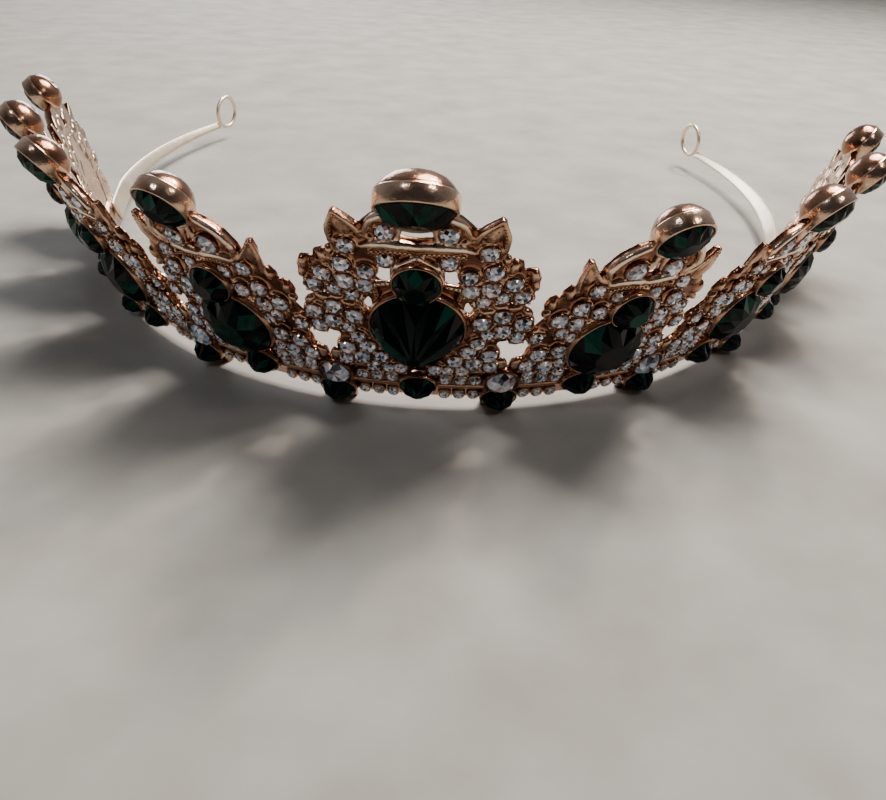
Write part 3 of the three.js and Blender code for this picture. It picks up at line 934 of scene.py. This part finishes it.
# %% Place the green stones
big, small, base, top = [], [], [], []
names = [motif_name(m) for m in MOTIFS]
for motif in MOTIFS:
    scale = OUTER_SCALE[abs(motif)]
    big_half = FRONT_BIG_HALF if motif == 0 else SIDE_BIG_HALF * scale
    big_at = FRONT_BIG_AT if motif == 0 else BASE_AT + BASE_HALF_TALL + STONE_GAP + big_half
    small_half = SMALL_HALF * scale
    small_at = big_at + big_half + small_half - SMALL_LAP
    big.append((wall_matrix(along_foot(motif, 0, big_at), big_at, ON_FACE), big_half, big_half))
    over = wall_matrix(along_foot(motif, 0, small_at), small_at, ON_FACE + 0.6)
    small.append((over, small_half, small_half))
    base.append((wall_matrix(motif * PITCH, BASE_AT, ON_FACE), BASE_HALF_WIDE, BASE_HALF_TALL))
    in_cup = cup_radius(motif) - 0.45
    top.append((cup_place(motif, -0.55), in_cup, in_cup))
between = [
    (wall_matrix(s, BETWEEN_AT, ON_FACE), BASE_HALF_WIDE, BASE_HALF_TALL) for s in BETWEEN_MOTIFS
]

side_names = names[:SIDE_MOTIFS] + names[SIDE_MOTIFS + 1 :]
side_big = big[:SIDE_MOTIFS] + big[SIDE_MOTIFS + 1 :]
front_cut = brilliant(10, 0.14, 0.92, 0.12, mid=0.56)
low_cut = brilliant(10, 0.46, 0.40, 0.13)
set_stones("front_green_stone", [big[SIDE_MOTIFS]], front_cut, ["front_big_stone"])
set_stones("side_green_stones", side_big, low_cut, [n + "_big_stone" for n in side_names])
set_stones("small_green_stones", small, brilliant(8, 0.46, 0.54, 0.2), [n + "_small_stone" for n in names])
set_stones("top_green_stones", top, brilliant(10, 0.42, 0.40, 0.14), [n + "_top_stone" for n in names])
set_stones("foot_green_stones", base, brilliant(8, 0.24, 0.74, 0.25), [n + "_base_stone" for n in names])
set_stones("low_green_stones", between, brilliant(8, 0.24, 0.74, 0.25),
           ["between_stone_%d" % (k + 1) for k in range(2 * SIDE_MOTIFS)])

# %% [markdown]
# ## Clear stones and beads by Geometry Nodes
# Hundreds of small clear stones share one cut, and all the beads and claws share one ball. Geometry
# Nodes put a copy on each point of a cloud. A point carries its size and the direction that it
# faces, so one tree serves all the clouds.


# %% One tree for stones and beads
def scatter_tree(name, finish, with_flash):
    tree = bpy.data.node_groups.new(name, "GeometryNodeTree")
    face = tree.interface
    face.new_socket("Geometry", in_out="INPUT", socket_type="NodeSocketGeometry")
    face.new_socket("Shape", in_out="INPUT", socket_type="NodeSocketObject")
    face.new_socket("Size", in_out="INPUT", socket_type="NodeSocketFloat")
    face.new_socket("Seed", in_out="INPUT", socket_type="NodeSocketInt")
    face.new_socket("Geometry", in_out="OUTPUT", socket_type="NodeSocketGeometry")
    nodes, links = tree.nodes, tree.links
    start, end = nodes.new("NodeGroupInput"), nodes.new("NodeGroupOutput")

    def attribute(label, kind):
        node = nodes.new("GeometryNodeInputNamedAttribute")
        node.data_type = kind
        node.inputs["Name"].default_value = label
        return node.outputs["Attribute"]

    align = nodes.new("FunctionNodeAlignRotationToVector")
    align.axis = "Z"
    links.new(attribute("facing", "FLOAT_VECTOR"), align.inputs["Vector"])
    size = nodes.new("ShaderNodeMath")
    size.operation = "MULTIPLY"
    links.new(attribute("size", "FLOAT"), size.inputs[0])
    links.new(start.outputs["Size"], size.inputs[1])
    shape = nodes.new("GeometryNodeObjectInfo")
    links.new(start.outputs["Shape"], shape.inputs["Object"])
    copies = nodes.new("GeometryNodeInstanceOnPoints")
    links.new(start.outputs["Geometry"], copies.inputs["Points"])
    links.new(shape.outputs["Geometry"], copies.inputs["Instance"])
    links.new(align.outputs["Rotation"], copies.inputs["Rotation"])
    links.new(size.outputs["Value"], copies.inputs["Scale"])
    spin = nodes.new("GeometryNodeRotateInstances")
    chance = nodes.new("FunctionNodeRandomValue")
    chance.data_type = "FLOAT_VECTOR"
    chance.inputs[0].default_value = (0, 0, 0)
    chance.inputs[1].default_value = (0, 0, 6.283)
    links.new(start.outputs["Seed"], chance.inputs["Seed"])
    links.new(copies.outputs["Instances"], spin.inputs["Instances"])
    links.new(chance.outputs["Value"], spin.inputs["Rotation"])
    real = nodes.new("GeometryNodeRealizeInstances")
    links.new(spin.outputs["Instances"], real.inputs["Geometry"])
    last = real.outputs["Geometry"]
    if with_flash:
        store = nodes.new("GeometryNodeStoreNamedAttribute")
        store.data_type = "FLOAT"
        store.domain = "FACE"
        store.inputs["Name"].default_value = "flash"
        glint = nodes.new("FunctionNodeRandomValue")
        glint.data_type = "FLOAT"
        links.new(start.outputs["Seed"], glint.inputs["Seed"])
        value = [s for s in store.inputs if s.name == "Value" and s.enabled][0]
        links.new([s for s in glint.outputs if s.enabled][0], value)
        links.new(last, store.inputs["Geometry"])
        last = store.outputs["Geometry"]
    dress = nodes.new("GeometryNodeSetMaterial")
    dress.inputs["Material"].default_value = finish
    links.new(last, dress.inputs["Geometry"])
    links.new(dress.outputs["Geometry"], end.inputs["Geometry"])
    return tree


def scatter(name, places, shape, tree, finish, relief_shade=None):
    """One piece from (matrix, size in millimetres) places. Metal gets one relief_shade level, its painted
    shade, and is smooth.
    """
    cloud = bpy.data.meshes.new(name + "_points")
    matrices, sizes = zip(*places)
    cloud.from_pydata([tuple(m.translation) for m in matrices], [], [])
    cloud.attributes.new("size", "FLOAT", "POINT").data.foreach_set("value", [r * MM for r in sizes])
    facing = [c for m in matrices for c in m.to_3x3().col[2]]
    cloud.attributes.new("facing", "FLOAT_VECTOR", "POINT").data.foreach_set("vector", facing)
    holder = bpy.data.objects.new(name + "_points", cloud)
    bpy.context.collection.objects.link(holder)
    nodes = holder.modifiers.new("scatter", "NODES")
    nodes.node_group = tree
    sockets = {s.name: s.identifier for s in tree.interface.items_tree if s.in_out == "INPUT"}
    nodes[sockets["Shape"]] = shape
    nodes[sockets["Size"]] = 1.0
    nodes[sockets["Seed"]] = 5
    mesh = plain_mesh(holder)
    holder.modifiers.clear()
    bpy.data.objects.remove(holder)
    mesh.name = name
    for label in ("size", "facing"):
        if label in mesh.attributes:
            mesh.attributes.remove(mesh.attributes[label])
    mesh.polygons.foreach_set("use_smooth", [relief_shade is not None] * len(mesh.polygons))
    if relief_shade is not None:
        values = [relief_shade] * len(mesh.vertices)
        mesh.attributes.new("relief_shade", "FLOAT", "POINT").data.foreach_set("value", values)
    print(name, len(places), "copies,", len(mesh.polygons), "faces")
    return finish_piece(name, mesh, finish)


def shape_object(name, points, faces):
    mesh = bpy.data.meshes.new(name)
    mesh.from_pydata([tuple(p) for p in points], [], faces)
    return bpy.data.objects.new(name, mesh)


# %% The shared shapes
clear_points, clear_faces = brilliant(8, 0.58, 0.40, 0.12, dip=0.10)
clear_points = [(0.93 * x, 0.93 * y, z) for x, y, z in clear_points]
clear_cut = shape_object("clear_cut", clear_points, clear_faces)

# A seat is a thin collar, open in the middle, for a stone of radius 1.
SEAT_SECTION = [(0.96, -0.35), (1.20, -0.35), (1.20, 0.10), (1.13, 0.27), (1.03, 0.27), (0.96, 0.12)]
SEAT_SIDES = 16
seat_points = [p for radius, z in SEAT_SECTION for p in circle(radius, z, SEAT_SIDES)]
seat_faces = ring_faces(len(SEAT_SECTION), SEAT_SIDES, closed=True)
seat_shape = shape_object("seat", seat_points, seat_faces)
print("faces on one clear stone:", len(clear_faces), "and on its seat:", len(seat_faces))
ball = bmesh.new()
bmesh.ops.create_uvsphere(ball, u_segments=8, v_segments=5, radius=1)
ball_mesh = bpy.data.meshes.new("bead")
ball.to_mesh(ball_mesh)
ball.free()
bead_shape = bpy.data.objects.new("bead", ball_mesh)
stone_tree = scatter_tree("set_clear_stones", clear_glass, True)
bead_tree = scatter_tree("set_beads", rose_gold, False)

# %% Where the clear stones and their claws go
CLEAR_OFF, CLAW_OFF, CLAW_GAP, CLAW_SIZE = 1.36, 1.62, 0.08, 0.24
stone_places, claw_places, bead_places = [], [], []


def flat_place(motif, u, h, off):
    h = float(squeezed(motif, h))
    return wall_matrix(float(along_foot(motif, u, h)), h, off)


for motif in MOTIFS:
    for u, v, r in FRONT_STONES if motif == 0 else SIDE_STONES:
        for side in (-1, 1):
            x, h, radius = side * u * PITCH, v * PITCH, r * PITCH
            stone_places.append((flat_place(motif, x, h, CLEAR_OFF), radius))
            for across, up, off in circle(radius + CLAW_GAP, CLAW_OFF, 4, math.pi / 4):
                claw_places.append((flat_place(motif, x + across, h + up, off), CLAW_SIZE))
print("clear stones on the castings:", len(stone_places), "with", len(claw_places), "claws")

# %% [markdown]
# ## The base band
# The band holds three rows: small stones in a channel along its top, a plain rail, and a row of
# small set stones along its lower edge. A large clear stone stands over each green one between two
# motifs. One section is swept along the wall for the metal.


# %% Sweep a section along the wall
def swept(section, stations):
    """A closed section of (height, off) pairs, carried to each station along the foot."""
    count = len(section)
    points, relief_shade = [], []
    for s in stations:
        for h, off in section:
            points.append(Vector(on_wall(s, h, off) + (0, SHIFT, 0)) * MM)
            # The back gets the painted backlight; the front gets painted shade low down and a painted
            # highlight up on the rail.
            relief_shade.append(PAINTED_BACKLIGHT if off < BAND_BACK else min(1, off / FULL_RELIEF))
    faces = ring_faces(len(stations), count)
    faces.append(list(range(count))[::-1])
    faces.append([len(points) - count + k for k in range(count)])
    return points, faces, relief_shade


band_section = [
    (1.35, 0.15), (1.35, 0.90), (1.55, 1.00), (3.10, 1.00), (3.30, 1.12), (3.45, 1.32),
    (3.80, 1.42), (4.10, 1.32), (4.28, 1.12), (4.45, 0.95), (6.35, 0.95), (6.55, 0.85), (6.55, 0.15),
]
band_points, band_faces, band_shade = swept(
    band_section[::-1], np.linspace(-ARM_LENGTH, ARM_LENGTH, 321)
)

# %% Pads under the stones between two motifs, cut flat at the floor
PAD_SECTION = [(3.6, 0.2), (3.6, 1.35), (-1.0, 1.25), (-1.0, 0.2)]
PAD_HALF = 2.05
for s in BETWEEN_MOTIFS:
    points, faces, relief_shade = swept(PAD_SECTION, np.linspace(s - PAD_HALF, s + PAD_HALF, 9))
    for p in points:
        p.z = max(p.z, 0.0)
    append_shape(band_points, band_faces, points, faces)
    band_shade += relief_shade
print("pads:", len(BETWEEN_MOTIFS))


# %% Seats on the band, and the stones in them
def band_seat(s, h, wide, tall, stone=True):
    rings = [
        (0.02, 0.4), (wide + 0.30, 0.4), (wide + 0.30, 1.2), (wide + 0.14, 1.5),
        (wide - 0.02, 1.5), (wide - 0.1, 1.25), (0.02, 1.25),
    ]
    points, faces = turned(rings, SEAT_SIDES, wall_matrix(s, h, 0), tall / wide)
    append_shape(band_points, band_faces, points, faces)
    # Painted shade at the seat's foot and inside it, and a painted highlight on its rim.
    for value in (0.2, 0.35, 0.6, 0.75, 0.7, 0.4, 0.3):
        band_shade.extend([value] * SEAT_SIDES)
    if stone:
        stone_places.append((wall_matrix(s, h, 1.32), (wide + tall) / 2))


for k in range(-2 * SIDE_MOTIFS - 1, 2 * SIDE_MOTIFS + 1):
    start = k * PITCH / 2
    for share in (0.165, 0.255, 0.345):
        s = start + share * PITCH
        band_seat(s, 5.45, 0.82, 0.82)
        band_seat(s, 2.25, 0.66, 0.72)
for s in BETWEEN_MOTIFS:
    band_seat(s, 5.5, 2.2, 2.1, stone=False)
    stone_places.append((wall_matrix(s, 5.5, 1.5), 2.2))
band = piece_from("foot_band", band_points, band_faces, rose_gold, relief_shade=band_shade)
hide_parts("base_band")
print("clear stones in all:", len(stone_places))

# %% Fine beading
def bead_line(motif, path, off, pitch=0.46, size=0.18):
    """Beads at an even pitch along a flat path."""
    steps = smooth_path([np.array(p) * PITCH for p in path], 10)
    lengths = np.concatenate([[0], np.cumsum([np.linalg.norm(b - a) for a, b in zip(steps, steps[1:])])])
    count = max(2, int(lengths[-1] / pitch))
    steps = np.array(steps)
    for d in np.linspace(0, lengths[-1], count):
        u = np.interp(d, lengths, steps[:, 0])
        v = np.interp(d, lengths, steps[:, 1])
        bead_places.append((flat_place(motif, u, v, off), size))


# Each line of beads has its own height out of the wall: on a ridge, or on the plate itself.
FRONT_BEADS = [
    (1.36, [(0.448, 1.39), (0.448, 1.47), (0.425, 1.54)]),
    (1.34, [(0.32, 1.42), (0.35, 1.485), (0.41, 1.545)]),
    (1.30, [(0.375, 1.41), (0.405, 1.50)]),
    (1.50, [(0.0, 1.318), (0.12, 1.326), (0.25, 1.316)]),
    (1.85, [(0.0, 1.305), (0.06, 1.262), (0.12, 1.215)]),
    (1.05, [(0.63, 1.19), (0.65, 1.11), (0.635, 1.02), (0.60, 0.975)]),
    (1.05, [(0.595, 1.19), (0.59, 1.11), (0.61, 1.06)]),
    (1.05, [(0.54, 1.25), (0.55, 1.20)]),
    (1.05, [(0.645, 0.81), (0.645, 0.72), (0.615, 0.66)]),
    (1.60, [(0.170, 1.09), (0.235, 1.06), (0.225, 0.98)]),
    (1.58, [(0.30, 0.95), (0.335, 0.90), (0.30, 0.84)]),
]
SIDE_BEADS = [
    (1.34, [(0.405, 1.06), (0.424, 1.14), (0.422, 1.235)]),
    (1.34, [(0.245, 1.09), (0.31, 1.13), (0.40, 1.24)]),
    (1.30, [(0.31, 1.10), (0.375, 1.18)]),
    (1.50, [(0.0, 1.035), (0.12, 1.046), (0.23, 1.018)]),
    (1.60, [(0.0, 1.01), (0.07, 0.965), (0.14, 0.905)]),
    (1.05, [(0.495, 0.95), (0.50, 0.89), (0.475, 0.85)]),
    (1.05, [(0.495, 0.73), (0.50, 0.67), (0.48, 0.63)]),
    (1.58, [(0.155, 0.80), (0.23, 0.72), (0.245, 0.62)]),
]
for motif in MOTIFS:
    for off, path in FRONT_BEADS if motif == 0 else SIDE_BEADS:
        for side in (-1, 1):
            bead_line(motif, [(side * u, v) for u, v in path], off)

scatter("clear_stones", stone_places, clear_cut, stone_tree, clear_glass)
# The seats get a low relief_shade, a painted shadow round each stone, the claws a high one, a painted
# highlight, and the beads a middle one.
scatter("stone_seats", stone_places, seat_shape, bead_tree, rose_gold, 0.46)
scatter("stone_claws", claw_places, bead_shape, bead_tree, rose_gold, 0.75)
scatter("milgrain_beads", bead_places, bead_shape, bead_tree, rose_gold, 0.65)

# %% [markdown]
# ## Collets
# A thin bright rim holds each green stone on the wall. Each one is turned on the lathe, and all
# of them make one piece.


# %% Turn the collets
def collets(name, places, back, lip):
    points, faces = [], []
    for matrix, wide, tall in places:
        rings = [(wide + 0.05, -back), (wide + 0.28, -back), (wide + 0.28, 0.1), (wide + 0.20, lip),
                 (wide + 0.06, lip + 0.05), (wide - 0.06, lip - 0.08)]
        append_shape(points, faces, *turned(rings, 48, matrix, tall / wide))
    relief_shade = [0.62] * len(points)
    return piece_from(name, points, faces, rose_gold, relief_shade=relief_shade)


collets("big_collets", big, 0.9, 0.75)
collets("small_collets", small, 1.2, 0.6)
collets("foot_collets", base + between, 0.9, 0.6)


# %% [markdown]
# ## Side strips and pin loops
# A springy strip is soldered behind each end of the band. It starts wide, leans outwards, and
# narrows towards a wire loop, which takes a hair pin. Its section is a flat oval.

# %% Strip sizes
STRIP_LENGTH, STRIP_LAP, STRIP_AT = 69, 7, 3.9
STRIP_LEAN, STRIP_TURN = math.radians(38), 14
STRIP_ROOT, STRIP_TIP, STRIP_THICK = 4, 1.8, 0.7
LOOP_RADIUS, LOOP_WIRE, LOOP_RAISE = 4, 1.1, 3
SOLDER_GAP = 0.12
print("each strip runs", STRIP_LENGTH, "mm past the band")


def on_strip(side, along, h, off):
    past = min(1, max(0, along) / STRIP_TURN)
    root_lean = float(lean_at(STRIP_AT))
    lean = root_lean + (STRIP_LEAN - root_lean) * past**2 * (3 - 2 * past)
    s = side * (ARM_LENGTH + along)
    turn = float(heading_at(s))
    x, y = foot_at(s)
    out, up = profile_at(STRIP_AT)
    rise = h - STRIP_AT
    reach = out + rise * math.sin(lean) + off * math.cos(lean)
    z = up + rise * math.cos(lean) - off * math.sin(lean)
    return Vector((x + reach * math.sin(turn), y - reach * math.cos(turn) + SHIFT, z)) * MM


# %% Strips
for side, hand in ((1, "left"), (-1, "right")):
    points = []
    stations = np.linspace(-STRIP_LAP, STRIP_LENGTH, 90)
    sides = 14
    for along in stations:
        share = max(0, along) / STRIP_LENGTH
        width = STRIP_ROOT + (STRIP_TIP - STRIP_ROOT) * share
        for k in range(sides):
            a = 2 * math.pi * k / sides
            across = math.copysign(abs(math.cos(a)) ** 0.55, math.cos(a)) * width / 2
            thick = math.copysign(abs(math.sin(a)) ** 0.7, math.sin(a)) * STRIP_THICK / 2
            points.append(on_strip(side, along, STRIP_AT + across, thick - SOLDER_GAP - STRIP_THICK / 2))
    faces = [face[::side] for face in ring_faces(len(stations), sides)]
    faces.append(list(range(sides))[::-side])
    faces.append([len(points) - sides + k for k in range(sides)][::side])
    strip = piece_from(hand + "_side_strip", points, faces, pale_gold)
    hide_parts(hand + "_strip")

    outer = LOOP_RADIUS + LOOP_WIRE / 2
    reach = math.sqrt(outer**2 - (LOOP_RAISE - STRIP_TIP / 2) ** 2)
    along = STRIP_LENGTH + reach + SOLDER_GAP
    centre = on_strip(side, along, STRIP_AT, -SOLDER_GAP - STRIP_THICK / 2)
    centre.z += LOOP_RAISE * MM
    turn = float(heading_at(side * (ARM_LENGTH + along)))
    ahead_of = Vector((math.cos(turn), math.sin(turn), 0))
    out = Vector((math.sin(turn), -math.cos(turn), 0))
    points = []
    rounds, wire_sides = 64, 12
    wire = LOOP_WIRE / 2 * 0.95
    for i in range(rounds):
        a = 2 * math.pi * i / rounds
        spoke = ahead_of * math.cos(a) + Vector((0, 0, 1)) * math.sin(a)
        for k in range(wire_sides):
            b = 2 * math.pi * k / wire_sides
            round_wire = spoke * (LOOP_RADIUS + wire * math.cos(b)) + out * wire * math.sin(b)
            points.append(centre + round_wire * MM)
    faces = [[a, d, c, b] for a, b, c, d in ring_faces(rounds, wire_sides, closed=True)]
    loop = piece_from(hand + "_pin_loop", points, faces, pale_gold)
    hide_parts(hand + "_loop")
    print(hand, "strip and loop made")

# %% [markdown]
# ## The floor
# A plain, matt, warm grey surface, so that the shadows read and nothing else draws the eye.

# %% Floor
bpy.ops.mesh.primitive_plane_add(size=6, location=(0, 0, 0))
floor = bpy.context.object
floor.name = "floor"
floor_finish, nodes, links = new_material("pale_floor")
shader = nodes["Principled BSDF"]
shader.inputs["Roughness"].default_value = 0.9
shade = ramp_node(nodes, [(0.3, (0.27, 0.248, 0.222)), (0.7, (0.36, 0.337, 0.308))])
cloth = noise_node(nodes, links, 60.0, 4.0)
links.new(cloth.outputs["Fac"], shade.inputs["Fac"])
links.new(shade.outputs["Color"], shader.inputs["Base Color"])
floor.data.materials.append(floor_finish)
print("floor:", floor_finish.name)

# %% Clear the helper shapes away
for helper in (clear_cut, bead_shape, seat_shape):
    bpy.data.objects.remove(helper)
